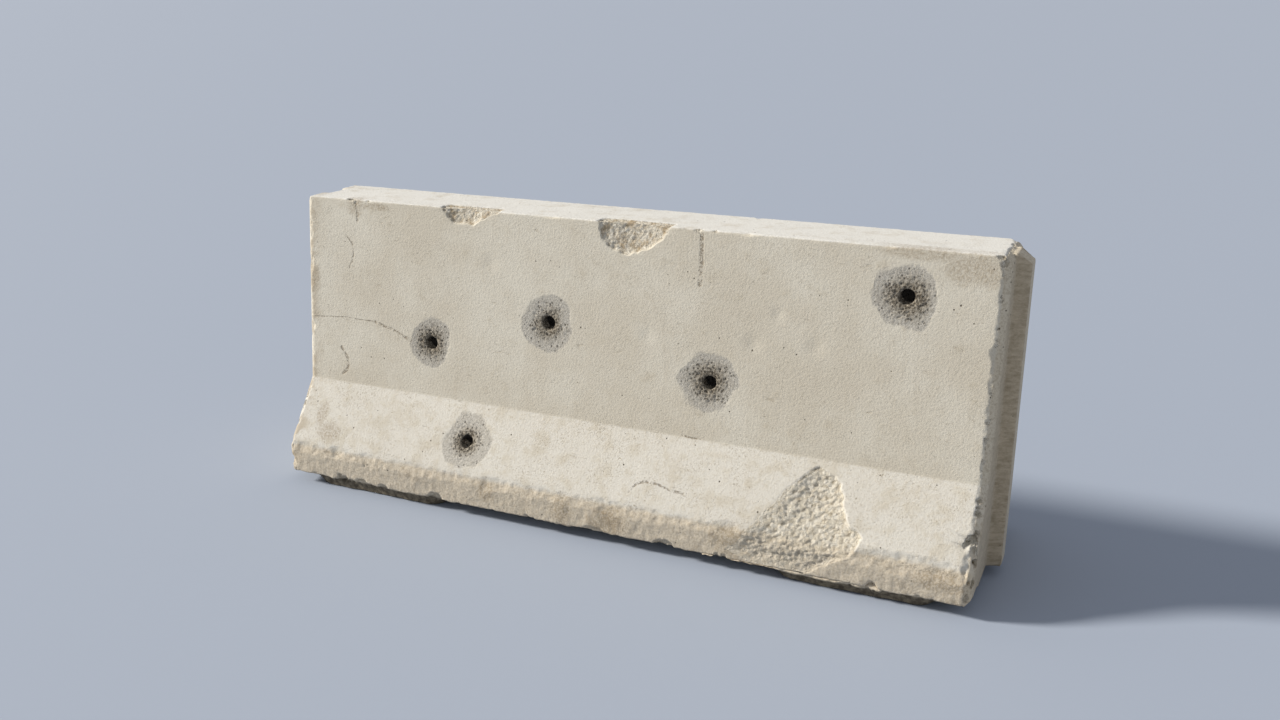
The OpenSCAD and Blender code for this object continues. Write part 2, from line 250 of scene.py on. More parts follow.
def normals_of(mesh):
    flat = np.empty(len(mesh.vertices) * 3, np.float32)
    mesh.vertex_normals.foreach_get("vector", flat)
    return flat.reshape(-1, 3).astype(float)


def edges_of(mesh):
    flat = np.empty(len(mesh.edges) * 2, np.int32)
    mesh.edges.foreach_get("vertices", flat)
    return flat.reshape(-1, 2)


def relaxed(values, edges, rounds):
    """Averages each vertex's value with its neighbours', several times over."""
    a, b = edges[:, 0], edges[:, 1]
    n = len(values)
    count = np.bincount(a, minlength=n) + np.bincount(b, minlength=n)
    for _ in range(rounds):
        values = np.stack([
            (np.bincount(a, values[b, k], n) + np.bincount(b, values[a, k], n)) / count
            for k in range(3)
        ], axis=1)
    return values


def unit(vectors):
    return vectors / np.maximum(np.linalg.norm(vectors, axis=1, keepdims=True), 1e-9)


def stem_half(z):
    return TOP_HALF + (HEIGHT - z) * math.tan(STEM_LEAN)


def slope_half(z):
    return BASE_HALF - (z - TOE_TOP) * math.tan(SLOPE_LEAN)


def stem_inward(side):
    return np.array((0, -side * math.cos(STEM_LEAN), -math.sin(STEM_LEAN)))


def slope_inward(side):
    return np.array((0, -side * math.cos(SLOPE_LEAN), -math.sin(SLOPE_LEAN)))


def front_face(points):
    """How far points lie under the whole front face, and the direction inward there."""
    y, z = points[:, 1], points[:, 2]
    stem, slope = z > WAIST, z > TOE_TOP
    under_stem = (stem_half(z) + y) * math.cos(STEM_LEAN)
    under_slope = (slope_half(z) + y) * math.cos(SLOPE_LEAN)
    depth = np.where(stem, under_stem, np.where(slope, under_slope, BASE_HALF + y))
    inward = np.where(slope[:, None], slope_inward(-1), np.array((0, 1, 0)))
    return depth, np.where(stem[:, None], stem_inward(-1), inward)


def polygon_distance(x, z, outline):
    """Distance to an outline's edge, positive inside it."""
    nearest = np.full(len(x), FAR)
    inside = np.zeros(len(x), bool)
    for (x0, z0), (x1, z1) in zip(outline, outline[1:] + outline[:1]):
        dx, dz = x1 - x0, z1 - z0
        t = np.clip(((x - x0) * dx + (z - z0) * dz) / (dx * dx + dz * dz), 0, 1)
        nearest = np.minimum(nearest, np.hypot(x - x0 - t * dx, z - z0 - t * dz))
        crosses = (z0 > z) != (z1 > z)
        inside ^= crosses & (x < x0 + (z - z0) * dx / (dz if dz else 1e-9))
    return np.where(inside, nearest, -nearest)


class Casting:
    """The casting's points, which each kind of wear moves inward."""

    def __init__(self, mesh):
        self.mesh = mesh
        self.points = points_of(mesh)
        self.whole = self.points.copy()
        self.edges = edges_of(mesh)
        self.inward = -unit(relaxed(normals_of(mesh), self.edges, 6))
        self.broken = np.zeros(len(self.points))

    def press(self, where, depth, share=0):
        """Moves the chosen points inward by their depth, and notes how far their face is broken."""
        self.points[where] += self.inward[where] * depth[:, None]
        self.broken[where] = np.maximum(self.broken[where], share)

    def fill(self, near, share, deepest):
        """Raises points that lie under the front face back towards it, all but the top face's."""
        depth, inward = front_face(self.whole[near])
        below_top = self.whole[near, 2] < HEIGHT - 0.0015
        under = (depth > 0) & (depth < deepest) & below_top
        lift = np.where(under, depth, 0) * share
        self.points[near] -= inward * lift[:, None]

    def bite(self, centre, radius, direction, seed):
        """Takes a lumpy ball out of the casting, cutting along one direction."""
        d = np.asarray(direction, float)
        d = d / np.linalg.norm(d)
        near = np.flatnonzero(np.all(np.abs(self.points - centre) < radius * 1.3, axis=1))
        if not len(near):
            return
        offset = self.points[near] - centre
        reach = radius * (1 + 0.35 * noise(self.points[near], radius * 0.5, seed))
        inside = np.sum(offset * offset, axis=1) < reach * reach
        offset, reach, near = offset[inside], reach[inside], near[inside]
        along = offset @ d
        travel = -along + np.sqrt(along * along - np.sum(offset * offset, axis=1) + reach * reach)
        self.points[near] += travel[:, None] * d
        self.broken[near] = np.maximum(self.broken[near], ramp(travel, 0.0005, 0.0025))

    def cut_arris(self, first, second, size, grain, seed):
        """Breaks the arris between two faces back to a ragged slant.

        Each face is its distance inward from the points and the direction inward. The size
        is worked out at each point, and the slant takes that much off both faces together."""
        (near_first, inward_first), (near_second, inward_second) = first, second
        total = near_first + near_second
        farthest, outside = 0.040, -0.004
        near = np.flatnonzero((total < farthest) & (near_first > outside) & (near_second > outside))
        q = self.whole[near]
        wide = size(q) + grain * (noise(q, 0.014, seed) + 0.5 * noise(q, 0.0065, seed + 1))
        cut = wide - total[near]
        near, cut = near[cut > 0], cut[cut > 0]
        share = cut / (2 * (1 + np.sum(inward_first * inward_second)))
        self.points[near] += share[:, None] * (inward_first + inward_second)
        self.broken[near] = np.maximum(self.broken[near], ramp(cut, 0.006, 0.018) * 0.45)

    def wear_arrises(self):
        """Wears every arris: hardly on top, heavily along the bottom of the toes."""
        x, y, z = self.whole.T
        for side in (-1, 1):
            out = side * y
            stem = ((stem_half(z) - out) * math.cos(STEM_LEAN), stem_inward(side))
            slope = ((slope_half(z) - out) * math.cos(SLOPE_LEAN), slope_inward(side))
            toe = (BASE_HALF - out, np.array((0, -side, 0)))
            top = (HEIGHT - z, np.array((0, 0, -1)))
            under = (z - UNDERSIDE, np.array((0, 0, 1)))

            def top_size(q):
                return 0.003 + 0.008 * ramp(rough(q, 0.10, 3, 101 + side), 0.30, 0.9)

            def slope_size(q):
                near_tongue = ramp(q[:, 0], MIDDLE + 0.66, MIDDLE + 0.80)
                return 0.009 + 0.007 * ramp(rough(q, 0.06, 3, 111 + side), -0.2, 0.8) + 0.006 * near_tongue

            def bottom_size(q):
                return 0.006 + 0.022 * ramp(rough(q, 0.075, 3, 121 + side), 0.1, 0.9)

            self.cut_arris(stem, top, top_size, 0.0014, 201)
            self.cut_arris(slope, toe, slope_size, 0.0022, 211)
            self.cut_arris(toe, under, bottom_size, 0.0035, 221)
            on_stem, on_toe = z >= WAIST, z < TOE_TOP
            on_slope = (z < WAIST) & (z > TOE_TOP)
            for end in (-1, 1):
                face = (BODY_HALF - end * (x - MIDDLE), np.array((-end, 0, 0)))
                seed = 131 + side + 5 * end
                for surface, here in ((stem, on_stem), (top, on_stem), (slope, on_slope), (toe, on_toe)):
                    self.cut_end(surface, face, here, seed)

    def cut_end(self, surface, face, here, seed):
        """Wears both arrises of the chamfer between one face and an end of the casting."""
        slant = unit(np.array([surface[1] + face[1]]))[0]
        depth = (surface[0] + face[0] - END_CHAMFER) / math.sqrt(2)
        chamfer = (np.where(here, depth, FAR), slant)

        def size(q):
            return 0.003 + 0.016 * ramp(rough(q, 0.06, 3, seed), 0.15, 0.9)

        self.cut_arris(surface, chamfer, size, 0.0034, 231)
        self.cut_arris(chamfer, face, size, 0.0024, 241)

    def chip_line(self, start, end, inward, count, sizes, seed):
        """Knocks random chips off one straight arris."""
        rng = np.random.default_rng(seed)
        start, end = np.asarray(start, float), np.asarray(end, float)
        inward = unit(np.asarray([inward], float))[0]
        for n in range(count):
            radius = sizes[0] + (sizes[1] - sizes[0]) * rng.random() ** 2.2
            place = start + (end - start) * rng.random()
            centre = place - inward * radius * (0.45 + 0.35 * rng.random())
            self.bite(centre, radius, inward, seed * 100 + n)

    def wear_faces(self):
        """Gives the cast faces the slight waves and blisters of an old mould."""
        waves = 0.0005 + 0.0005 * noise(self.whole, 0.22, 31)
        self.press(slice(None), waves)
        for x, z, size, lift in BLISTERS:
            u, v = self.whole[:, 0] - (MIDDLE + x), self.whole[:, 2] - z
            near = np.flatnonzero((np.hypot(u, v) < size * 2) & (self.whole[:, 1] < 0))
            fall = np.exp(-(u[near] ** 2 + v[near] ** 2) / (0.5 * size) ** 2)
            self.press(near, fall * lift)
        wide = np.abs(self.whole[:, 1]) > BASE_HALF - 0.03
        band = np.flatnonzero(wide & (self.whole[:, 2] < TOE_TOP + 0.03))
        q = self.whole[band]
        lumps = 0.0020 + 0.0020 * rough(q, 0.045, 3, 33) + 0.0009 * noise(q, 0.012, 34)
        self.press(band, lumps * ramp(q[:, 2], TOE_TOP + 0.028, TOE_TOP + 0.002))

    def break_top(self):
        """Breaks away stretches of the front top arris down to the stones."""
        x, y, z = self.whole.T
        for outline in TOP_BREAKS:
            beside = np.abs(x - MIDDLE - outline[3][0]) < 0.25
            near = np.flatnonzero(beside & (y < -0.06) & (z > 0.72))
            self.crumble(near, outline, 0.0036, 0, 41)

    def break_toe(self):
        """Breaks the big patch out of the lower slope."""
        x, y, z = self.whole.T
        beside = (x > MIDDLE + 0.33) & (x < MIDDLE + 0.79)
        near = np.flatnonzero(beside & (y < -0.12) & (z < 0.31) & (z > 0.02))
        vague = ramp(x[near], MIDDLE + 0.66, MIDDLE + 0.50)
        self.crumble(near, TOE_PATCH, 0.0050, vague, 53)

    def crumble(self, near, outline, depth, vague, seed):
        """Leaves loose stone inside an outline on the front, and whole face round it.

        Where `vague` is 1, the stone starts level with the face and sinks slowly."""
        q = self.whole[near]
        wobble = 0.008 * rough(q, 0.05, 3, seed)
        inside = polygon_distance(q[:, 0] - MIDDLE + wobble, q[:, 2] + wobble, outline)
        inside = inside + 0.005 * noise(q, 0.014, seed + 1)
        mask = ramp(inside, -0.002, 0.005)
        self.fill(near, 1 - ramp(inside, -0.002, 0.005 + 0.075 * vague), 0.013)
        stones = np.clip(pebbles(q, 0.0085, seed + 2) * 1.35, 0, 1) ** 1.3
        flakes = 0.5 + 0.5 * rough(q * (1, 1, 2.2), 0.020, 3, seed + 3)
        sunk = depth * (0.2 + 0.8 * stones + flakes) * (1 - 0.75 * vague * ramp(inside, 0.035, 0.0))
        self.press(near, mask * sunk, mask)

    def crater(self, mark):
        """Leaves a shallow pitted dish round one impact hole."""
        across, height, reach, _, lean = mark
        v = (self.whole[:, 2] - height) / math.cos(lean)
        away = np.hypot(self.whole[:, 0] - MIDDLE - across, v)
        near = np.flatnonzero((self.whole[:, 1] < -0.08) & (away < reach))
        q, r = self.whole[near], away[near] / reach
        self.fill(near, 0.65 * ramp(away[near], 0.0165, 0.021), 0.008)
        holes = ramp(pebbles(q, 0.0105, 61), 0.42, 0.15)
        holes = holes * ramp(r, 0.95, 0.45) * 0.0036
        grain = (0.5 + 0.5 * noise(q, 0.009, 67)) * 0.0014 * ramp(r, 1.0, 0.6)
        self.press(near, holes + grain)

    def roughen_feet(self):
        """Leaves the feet and the underside as ragged as the ground they were cast on."""
        q = self.whole
        near = np.flatnonzero((q[:, 2] < UNDERSIDE + 0.004) & (q[:, 2] > 0.004))
        w = q[near]
        side = ramp(w[:, 2], 0.0, 0.010)
        self.press(near, side * (0.003 + 0.004 * rough(w, 0.05, 3, 71) + 0.002 * noise(w, 0.012, 73)))

    def finish(self):
        """Puts the points back, inside the casting's own box."""
        self.points = np.clip(self.points, np.array(LOW), np.array(HIGH))
        self.mesh.vertices.foreach_set("co", self.points.astype(np.float32).ravel())
        broken = self.mesh.attributes.new("broken", "FLOAT", "POINT")
        broken.data.foreach_set("value", self.broken.astype(np.float32))
        self.mesh.update()


def cast_body():
    piece = outer_skin("concrete_body", VOXEL)
    piece.name = "weathered_casting"
    casting = Casting(piece.data)
    casting.wear_arrises()
    casting.wear_faces()
    casting.break_top()
    casting.break_toe()
    for mark in MARKS:
        casting.crater(mark)
    casting.roughen_feet()
    left, right = GROOVE_END + 0.02, TONGUE_END - 0.02
    for side in (-1, 1):
        top = side * TOP_HALF
        toe = side * BASE_HALF
        along = ((left, top, HEIGHT), (right, top, HEIGHT))
        casting.chip_line(*along, (0, -side, -1), 16, (0.005, 0.016), 3 + side)
        along = ((left, toe, TOE_TOP), (right, toe, TOE_TOP))
        casting.chip_line(*along, (0, -side, -0.6), 24, (0.005, 0.012), 7 + side)
        along = ((left, toe, UNDERSIDE), (right, toe, UNDERSIDE))
        casting.chip_line(*along, (0, -side, 0.6), 36, (0.008, 0.026), 13 + side)
        for end, x in ((-1, GROOVE_END + END_CHAMFER), (1, TONGUE_END - END_CHAMFER)):
            waist = (x, side * WAIST_HALF, WAIST)
            foot = (x, toe, UNDERSIDE)
            inward = (-end, -side, 0)
            seed = side + 2 * end
            casting.chip_line(waist, (x, top, HEIGHT), inward, 26, (0.005, 0.012), 19 + seed)
            casting.chip_line(foot, waist, inward, 14, (0.005, 0.015), 29 + seed)
    for number, (x, y, z, radius) in enumerate(CHIPS):
        casting.bite((MIDDLE + x, y, z), radius, (0, 1, 0.3 if z < WAIST else -0.6), 900 + number)
    casting.finish()
    thin = piece.modifiers.new("thin", "DECIMATE")
    thin.ratio = min(1.0, TRIANGLES / (2 * len(piece.data.polygons)))
    applied(piece)
    piece.data.shade_smooth()
    even = piece.modifiers.new("even_shading", "WEIGHTED_NORMAL")
    even.weight = 80
    applied(piece)
    return piece


# ---- Finishes ----

class Wire:
    """A node's output that Python's operators can be used on."""

    def __init__(self, finish, socket):
        self.finish = finish
        self.socket = socket

    def maths(self, operation, *values):
        sockets = dict(enumerate((self, *values)))
        return self.finish.node("ShaderNodeMath", {"operation": operation}, sockets)

    def __add__(self, other):
        return self.maths("ADD", other)

    def __sub__(self, other):
        return self.maths("SUBTRACT", other)

    def __mul__(self, other):
        return self.maths("MULTIPLY", other)

    def __truediv__(self, other):
        return self.maths("DIVIDE", other)

    def __pow__(self, other):
        return self.maths("POWER", other)

    def __rsub__(self, other):
        return (self * -1) + other

    __radd__ = __add__
    __rmul__ = __mul__

    def size(self):
        return self.maths("ABSOLUTE")

    def least(self, other):
        return self.maths("MINIMUM", other)

    def most(self, other):
        return self.maths("MAXIMUM", other)

    def ramp(self, start, end):
        """0 before start, 1 after end, smooth between."""
        if start > end:
            return 1 - self.ramp(end, start)
        sockets = {"Value": self, "From Min": start, "From Max": end}
        return self.finish.node("ShaderNodeMapRange", {"interpolation_type": "SMOOTHSTEP"}, sockets)


class Finish:
    """One material, built node by node."""

    def __init__(self, name):
        self.material = bpy.data.materials.new(name)
        self.material.use_nodes = True
        self.tree = self.material.node_tree
        self.tree.nodes.clear()
        self.place = self.node("ShaderNodeTexCoord", out="Object")

    def node(self, kind, settings=None, sockets=None, out=0):
        made = self.tree.nodes.new(kind)
        for name, value in (settings or {}).items():
            setattr(made, name, value)
        for name, value in (sockets or {}).items():
            if isinstance(value, Wire):
                self.tree.links.new(value.socket, made.inputs[name])
            else:
                made.inputs[name].default_value = value
        return Wire(self, made.outputs[out]) if made.outputs else None

    def axes(self):
        split = self.node("ShaderNodeSeparateXYZ", None, {0: self.place})
        outputs = split.socket.node.outputs
        return [Wire(self, outputs[n]) for n in range(3)]

    def stretched(self, x, y, z):
        """The place, scaled along each axis, for patterns that run one way."""
        return self.node("ShaderNodeVectorMath", {"operation": "MULTIPLY"}, {0: self.place, 1: (x, y, z)})

    def noise(self, scale, detail=4, rough=0.55, place=None, warp=0):
        sockets = {"Vector": place or self.place, "Scale": scale, "Detail": detail}
        sockets.update({"Roughness": rough, "Distortion": warp})
        return self.node("ShaderNodeTexNoise", None, sockets)

    def cells(self, scale, feature="F1", out="Distance"):
        sockets = {"Vector": self.place, "Scale": scale}
        return self.node("ShaderNodeTexVoronoi", {"feature": feature}, sockets, out)

    def mix(self, base, other, share, blend="MIX"):
        settings = {"data_type": "RGBA", "blend_type": blend}
        return self.node("ShaderNodeMix", settings, {0: share, 6: base, 7: other}, 2)

    def shader(self, colour, roughness, bump=None, strength=1.0, distance=0.001, metallic=0.0):
        sockets = {"Base Color": colour, "Roughness": roughness, "Metallic": metallic}
        if bump is not None:
            settings = {"Strength": strength, "Distance": distance, "Height": bump}
            sockets["Normal"] = self.node("ShaderNodeBump", None, settings)
        surface = self.node("ShaderNodeBsdfPrincipled", None, sockets)
        self.node("ShaderNodeOutputMaterial", None, {"Surface": surface})
        return self.material


def linear(red, green, blue):
    """A colour given as on a screen, from 0 to 255, as the light it sends back."""
    def light(value):
        if value > 10:
            return ((value / 255 + 0.055) / 1.055) ** 2.4
        return value / 255 / 12.92
    return light(red), light(green), light(blue), 1


# Colours of the concrete
SKIN_DARK = linear(208, 198, 178)
SKIN_LIGHT = linear(218, 210, 192)
SKIN_BLOTCH = linear(192, 180, 157)
SKIN_DRIP = linear(190, 178, 157)
# The slope and top colours are painted light: paler than the skin, for the sun that falls on these faces.
SLOPE_LIT_PALE = linear(212, 207, 196)
SLOPE_LIT_GREY = linear(200, 192, 176)
TOP_LIT_PALE = linear(226, 223, 215)
TOP_LIT_GREY = linear(212, 206, 194)
FRECKLE = linear(150, 134, 106)
SCUFF = linear(162, 147, 121)
FINE_DIRT = linear(180, 167, 144)
GRAIN_DARK = linear(150, 138, 118)
# The toe's two base colours are painted shade, darker than the skin; the stain colour after them is real
# ground staining.
TOE_SHADE_PALE = linear(206, 193, 171)
TOE_SHADE_DEEP = linear(186, 171, 147)
TAN_STAIN = linear(152, 134, 108)
GROOVE_GRIME = linear(158, 140, 112)
STAIN = linear(146, 126, 96)
END_FACE = linear(214, 198, 170)
END_GRIME = linear(168, 152, 126)
# Tongue colours: horizontal streaks, painted darker as the shade that the end's cheeks cast on the
# tongue's sides.
TONGUE_STREAK_PALE = linear(196, 180, 154)
TONGUE_STREAK_SHADE = linear(150, 134, 108)
# Painted shade inside the air pinholes.
BUBBLE_SHADE = linear(84, 72, 54)
STONE_LIGHT = linear(232, 224, 207)
STONE_DARK = linear(200, 188, 165)
# Painted shade in the gaps between the broken stones.
STONE_GAP_SHADE = linear(142, 126, 100)
STONE_BROWN = linear(172, 150, 116)
FLAKE_LIGHT = linear(192, 186, 174)
FLAKE_DARK = linear(164, 157, 144)
SOOT_LIGHT = linear(146, 133, 110)
SOOT_DARK = linear(92, 80, 62)
# Painted shade inside the impact pits and the impact hole.
PIT_SHADE = linear(66, 56, 42)
HOLE_SHADE = linear(30, 25, 19)
CRACK = linear(122, 102, 76)
# Feet colours: soil, painted darker as the shade under the toe's overhang.
EARTH_SHADE_PALE = linear(132, 121, 102)
EARTH_SHADE_DEEP = linear(84, 75, 61)


def scratch(x, z, start, end, width):
    """1 on a thin straight scratch between two points of the front face."""
    dx, dz = end[0] - start[0], end[1] - start[1]
    u, v = x - (MIDDLE + start[0]), z - start[1]
    t = ((u * dx + v * dz) / (dx * dx + dz * dz)).most(0).least(1)
    off_x, off_z = u - t * dx, v - t * dz
    away = (off_x * off_x + off_z * off_z) ** 0.5
    return away.ramp(width, width * 0.35)


class Concrete(Finish):
    """The weathered concrete, laid down layer by layer from the cast skin to the soiled feet, which are
    also painted dark as shade.
    """

    def __init__(self):
        super().__init__("weathered_concrete")
        self.x, self.y, self.z = self.axes()
        self.front = self.y.ramp(-0.06, -0.08)
        self.blotches = self.noise(22, 5, 0.6)
        self.fine = self.noise(170, 5, 0.68)
        self.grain = self.noise(420, 3, 0.6)
        self.wander = (self.noise(36, 4, 0.6) - 0.5) * 0.012

    def cast_skin(self):
        """The skin that the mould left, with the dirt that lies on it, and the slope and the top painted
        paler as painted light.
        """
        clouds = self.noise(5, 6, 0.6)
        drips = self.noise(1, 5, 0.6, self.stretched(34, 34, 3.2))
        skin = self.mix(SKIN_DARK, SKIN_LIGHT, clouds.ramp(0.35, 0.68))
        skin = self.mix(skin, SKIN_BLOTCH, self.blotches.ramp(0.56, 0.76) * 0.45)
        skin = self.mix(skin, SKIN_DRIP, drips.ramp(0.58, 0.76) * 0.28)
        self.on_slope = (self.z + self.wander * 0.2).ramp(WAIST + 0.003, WAIST - 0.003)
        # Painted light: the slope is made paler and greyer than the stem, standing for the sun on it.
        slope_painted_light = self.mix(SLOPE_LIT_PALE, SLOPE_LIT_GREY, self.blotches.ramp(0.44, 0.66))
        skin = self.mix(skin, slope_painted_light, self.on_slope * 0.75)
        on_top = (self.z + self.wander * 0.3).ramp(HEIGHT - 0.005, HEIGHT - 0.001)
        # Painted light: the top is made paler still, standing for the sun on it.
        top_painted_light = self.mix(TOP_LIT_PALE, TOP_LIT_GREY, self.blotches.ramp(0.48, 0.72))
        skin = self.mix(skin, top_painted_light, on_top * 0.85)
        self.freckles = self.noise(210, 4, 0.75).ramp(0.56, 0.66) * self.noise(14, 4, 0.6).ramp(0.40, 0.62)
        skin = self.mix(skin, FRECKLE, self.freckles * (0.25 + self.on_slope * 0.45))
        scuffed = self.noise(1, 5, 0.7, self.stretched(24, 24, 90), 0.6).ramp(0.59, 0.70)
        self.scuffed = scuffed * self.noise(15, 3, 0.6).ramp(0.50, 0.62)
        skin = self.mix(skin, SCUFF, self.scuffed * 0.40)
        return self.mix(skin, FINE_DIRT, self.fine.ramp(0.50, 0.70) * (0.32 + self.on_slope * 0.18))

    def toe_band(self, skin):
        """The upright toe, painted darker as painted shade and stained from the ground."""
        low = (self.z + self.wander * 1.5).ramp(TOE_TOP + 0.014, TOE_TOP - 0.002)
        self.band = low * self.y.size().ramp(BASE_HALF - 0.03, BASE_HALF - 0.014)
        # Painted shade: the toe's base tone is darker than the skin, standing for the less lit upright
        # face; the cloudy patches are ground stains.
        tan = self.mix(TOE_SHADE_PALE, TOE_SHADE_DEEP, self.fine.ramp(0.40, 0.62))
        cloudy = self.noise(13, 5, 0.65, warp=0.8).ramp(0.54, 0.72)
        self.tan = self.mix(tan, TAN_STAIN, cloudy * 0.65)
        return self.mix(skin, self.tan, self.band * 0.9)

    def soiled(self, skin):
        """The stains of the front, the grime at both ends, and the tongue's sides, streaked and painted
        dark as the shade of the end's cheeks.
        """
        groove_edge = (self.x + self.wander * 2).ramp(MIDDLE - 0.935, MIDDLE - 0.985)
        skin = self.mix(skin, GROOVE_GRIME, groove_edge * self.blotches.ramp(0.40, 0.58) * 0.55)
        stained = 0
        for across, height, long, high in STAINS:
            u, v = (self.x - (MIDDLE + across)) / long, (self.z - height) / high
            stained = (u * u + v * v + (self.blotches - 0.5) * 2.2).ramp(1.3, 0.1).most(stained)
        stained = stained * self.front * (0.35 + self.fine.ramp(0.38, 0.60) * 0.65)
        skin = self.mix(skin, STAIN, stained * 0.50)
        at_end = self.x.ramp(TONGUE_END - END_CHAMFER - 0.002, TONGUE_END - END_CHAMFER + 0.004)
        skin = self.mix(skin, END_FACE, at_end * 0.5)
        skin = self.mix(skin, END_GRIME, at_end * self.fine.ramp(0.46, 0.60) * 0.50)
        # Painted shade: the tongue's sides are darkened for the cheeks' shadow, over real horizontal
        # streaks.
        on_tongue = self.x.ramp(TONGUE_END - 0.004, TONGUE_END + 0.003)
        on_tongue = on_tongue * self.y.size().ramp(0.026, 0.031)
        streaks = self.noise(1, 6, 0.72, self.stretched(26, 26, 74)).ramp(0.34, 0.68)
        return self.mix(skin, self.mix(TONGUE_STREAK_PALE, TONGUE_STREAK_SHADE, streaks), on_tongue * 0.85)

    def bubbled(self, skin):
        """The small holes that air left, most of them near the tongue end, each painted dark as the shade
        inside it.
        """
        corner = (self.x + self.z * 0.9 + self.wander * 3).ramp(MIDDLE + 1.48, MIDDLE + 1.76)
        corner = corner * self.front * self.z.ramp(0.70, 0.78)
        near_end = self.x.ramp(TONGUE_END - 0.16, TONGUE_END - 0.03)
        near_end = near_end * self.front * self.z.ramp(WAIST, HEIGHT)
        kind = (self.cells(60, out="Color") + near_end * 0.30 + corner * 0.15).ramp(0.62, 1.0)
        bubbles = (self.cells(60) / (kind * 0.17 + 0.0001)).ramp(1.0, 0.6)
        self.bubbles = bubbles * kind.ramp(0.05, 0.2)
        # Painted shade: each pinhole is darkened for the shade in it.
        return self.mix(skin, BUBBLE_SHADE, self.bubbles * 0.9)

    def broken_open(self, skin):
        """The stones that show where the skin is broken off, with painted shade between them."""
        torn = self.node("ShaderNodeAttribute", {"attribute_name": "broken"}, out="Fac")
        self.stone_edge = self.cells(120, "SMOOTH_F1")
        rubble = self.mix(STONE_LIGHT, STONE_DARK, self.cells(120, out="Color"))
        # Painted shade: the borders between the stones are darkened for the shade in the gaps.
        rubble = self.mix(rubble, STONE_GAP_SHADE, self.stone_edge.ramp(0.45, 0.80) * 0.60)
        rusty = self.noise(30, 4, 0.6).ramp(0.46, 0.66) * self.z.ramp(0.60, 0.75)
        rubble = self.mix(rubble, STONE_BROWN, rusty * 0.8)
        rubble = self.mix(rubble, self.tan, self.band * 0.55)
        self.broken = (torn + (self.fine - 0.5) * 0.5).ramp(0.25, 0.70)
        return self.mix(skin, rubble, self.broken)

    def impact_marks(self, surface):
        """A flaked halo, a sooty core, and pits and a hole painted dark as the shade inside them, at each
        place that was hit.
        """
        lobes = (self.noise(13, 1, 0.5) - 0.5) * 0.062 + (self.noise(75, 3, 0.6) - 0.5) * 0.014
        halo, core, hole = 0, 0, 0
        for across, height, reach, dark, lean in MARKS:
            u, v = self.x - (MIDDLE + across), (self.z - height) / math.cos(lean)
            away = (u * u + v * v) ** 0.5
            halo = halo + ((away + lobes) / reach).ramp(1.03, 0.90)
            core = core + (away + lobes * 0.7).ramp(reach * dark, reach * 0.22)
            hole = hole + away.ramp(0.0190, 0.0165)
        self.halo = halo.least(1) * self.front
        core = core.least(1) * self.front
        hole = hole.least(1) * self.front
        self.mottled = self.noise(190, 4, 0.7)
        flaked = self.mix(FLAKE_LIGHT, FLAKE_DARK, self.mottled.ramp(0.38, 0.62))
        surface = self.mix(surface, flaked, self.halo * 0.8)
        sooty = self.mix(SOOT_LIGHT, SOOT_DARK, self.mottled.ramp(0.35, 0.65))
        surface = self.mix(surface, sooty, core * (0.55 + self.mottled.ramp(0.3, 0.7) * 0.45))
        pits = (self.cells(150) + (self.fine - 0.5) * 0.7).ramp(0.56, 0.24)
        pits = pits * (self.cells(150, out="Color") + core * 0.60).ramp(0.66, 0.92)
        self.pits = pits * self.halo
        # Painted shade: the pits are darkened for the shade inside them.
        surface = self.mix(surface, PIT_SHADE, self.pits * 0.75)
        # Painted shade: the hole is painted near black for the shade inside it.
        return self.mix(surface, HOLE_SHADE, hole * 0.95)

    def cracked(self, surface):
        """The thin cracks and scratches, broken up along their length."""
        wobble_x, wobble_z = self.x + self.wander * 0.5, self.z - self.wander * 0.5
        lines = 0
        for path, width in CRACKS:
            for start, end in zip(path, path[1:]):
                lines = scratch(wobble_x, wobble_z, start, end, width).most(lines)
        lines = lines * self.front * self.fine.ramp(0.40, 0.62)
        self.lines = lines * self.noise(48, 3, 0.6).ramp(0.32, 0.52)
        return self.mix(surface, CRACK, self.lines * 0.70)

    def muddy_and_shaded(self, surface):
        """The feet and the underside, brown with soil and painted dark as the shade under the toe."""
        foot = (self.z + self.wander * 0.5).ramp(0.033, 0.025)
        # Painted shade: the band under the toe is darkened as the shade beneath the overhang, in a soil
        # colour.
        earth_and_shade = self.mix(EARTH_SHADE_PALE, EARTH_SHADE_DEEP, self.noise(60, 5, 0.65).ramp(0.36, 0.62))
        return self.mix(surface, earth_and_shade, foot)

    def relief(self):
        """The fine shape of the surface, too small for the mesh."""
        relief = self.grain * 0.16 + self.blotches * 0.40 + self.fine * 0.95
        relief = relief - self.freckles * 0.25 - self.bubbles * 1.6 - self.scuffed * 0.35
        relief = relief + self.noise(75, 3, 0.6) * (0.20 + self.on_slope * 0.25 + self.band * 0.8)
        relief = relief + self.broken * (self.fine * 3.4 - self.stone_edge * 1.8)
        return relief + self.halo * (self.mottled * 1.6 - self.pits * 1.6 - 1.3) - self.lines * 1.4

    def made(self):
        surface = self.cast_skin()
        for layer in (self.toe_band, self.soiled, self.bubbled, self.broken_open):
            surface = layer(surface)
        for layer in (self.impact_marks, self.cracked, self.muddy_and_shaded):
            surface = layer(surface)
        colour = self.mix(surface, GRAIN_DARK, self.grain.ramp(0.58, 0.80) * 0.22)
        return self.shader(colour, 0.86 + self.grain * 0.1, self.relief(), 0.9, 0.0016)


def bar_finish():
    f = Finish("rusted_bar")
    patches = f.noise(60, 5, 0.6)
    flecks = f.noise(900, 3, 0.6)
    steel = f.mix(linear(104, 96, 92), linear(132, 122, 114), flecks)
    rust = f.mix(linear(118, 66, 38), linear(86, 46, 28), flecks.ramp(0.3, 0.7))
    cover = patches.ramp(0.38, 0.60)
    colour = f.mix(steel, rust, cover)
    return f.shader(colour, 0.45 + cover * 0.4, flecks * 0.5 + cover * 0.8, 0.6, 0.0004, 0.9 - cover * 0.8)


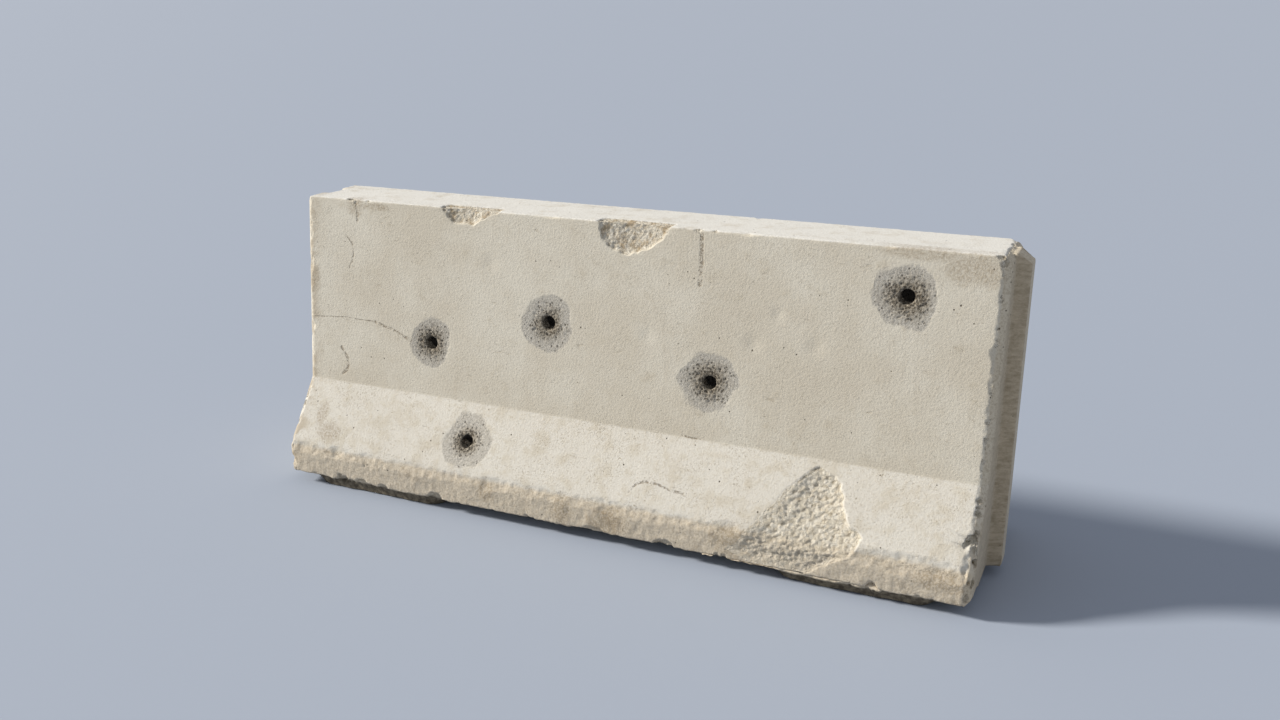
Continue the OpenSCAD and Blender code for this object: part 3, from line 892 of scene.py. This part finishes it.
def plastic_finish():
    f = Finish("grey_plastic")
    cloud = f.noise(40, 4, 0.5)
    grain = f.noise(1500, 2, 0.5)
    dirt = f.noise(90, 5, 0.7).ramp(0.56, 0.72)
    colour = f.mix(linear(66, 68, 72), linear(84, 86, 90), cloud)
    colour = f.mix(colour, linear(150, 142, 128), dirt * 0.5)
    return f.shader(colour, 0.50 + cloud * 0.15, grain, 0.3, 0.0002)


def dress(piece, material):
    piece.data.materials.clear()
    piece.data.materials.append(material)


# ---- The object ----

casting = cast_body()
dress(casting, Concrete().made())
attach(casting, "root")
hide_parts("concrete_body")

rusted, plastic = bar_finish(), plastic_finish()
for name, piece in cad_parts.items():
    if name in ("wheel_spacers", "bar_chairs"):
        dress(piece, plastic)
    elif name != "concrete_body":
        dress(piece, rusted)

# ---- Floor, light and camera ----

FLOOR_HALF = 1500.0
corners = [(x * FLOOR_HALF, y * FLOOR_HALF, 0) for x, y in ((-1, -1), (1, -1), (1, 1), (-1, 1))]
floor_mesh = bpy.data.meshes.new("floor")
floor_mesh.from_pydata(corners, [], [(0, 1, 2, 3)])
floor = bpy.data.objects.new("floor", floor_mesh)
bpy.context.scene.collection.objects.link(floor)
floor_finish = Finish("pale_floor")
dress(floor, floor_finish.shader(linear(163, 171, 184), 0.9))

world = bpy.data.worlds.new("studio")
bpy.context.scene.world = world
world.use_nodes = True
sky = world.node_tree.nodes["Background"]
sky.inputs["Color"].default_value = linear(232, 238, 250)
sky.inputs["Strength"].default_value = 0.46

key = bpy.data.lights.new("key", "SUN")
key.energy = 4.75
key.angle = math.radians(9)
key.color = (1.0, 0.965, 0.91)
SUN_FROM = Vector((-0.86, -0.25, 0.48))
key_object = bpy.data.objects.new("key", key)
key_object.rotation_euler = SUN_FROM.to_track_quat("Z", "Y").to_euler()
bpy.context.scene.collection.objects.link(key_object)

camera = bpy.data.cameras.new("camera")
camera.sensor_width = 36.0
camera.lens = 32.449
camera.clip_end = 5000.0
camera_object = bpy.data.objects.new("camera", camera)
camera_object.location = (MIDDLE + 1.28421, -2.76348, 1.39744)
YAW, PITCH = 0.426194, 0.308659
aim = Vector((-math.sin(YAW) * math.cos(PITCH), math.cos(YAW) * math.cos(PITCH), -math.sin(PITCH)))
camera_object.rotation_euler = aim.to_track_quat("-Z", "Y").to_euler()
bpy.context.scene.collection.objects.link(camera_object)
bpy.context.scene.camera = camera_object
bpy.context.scene.view_settings.view_transform = "Standard"
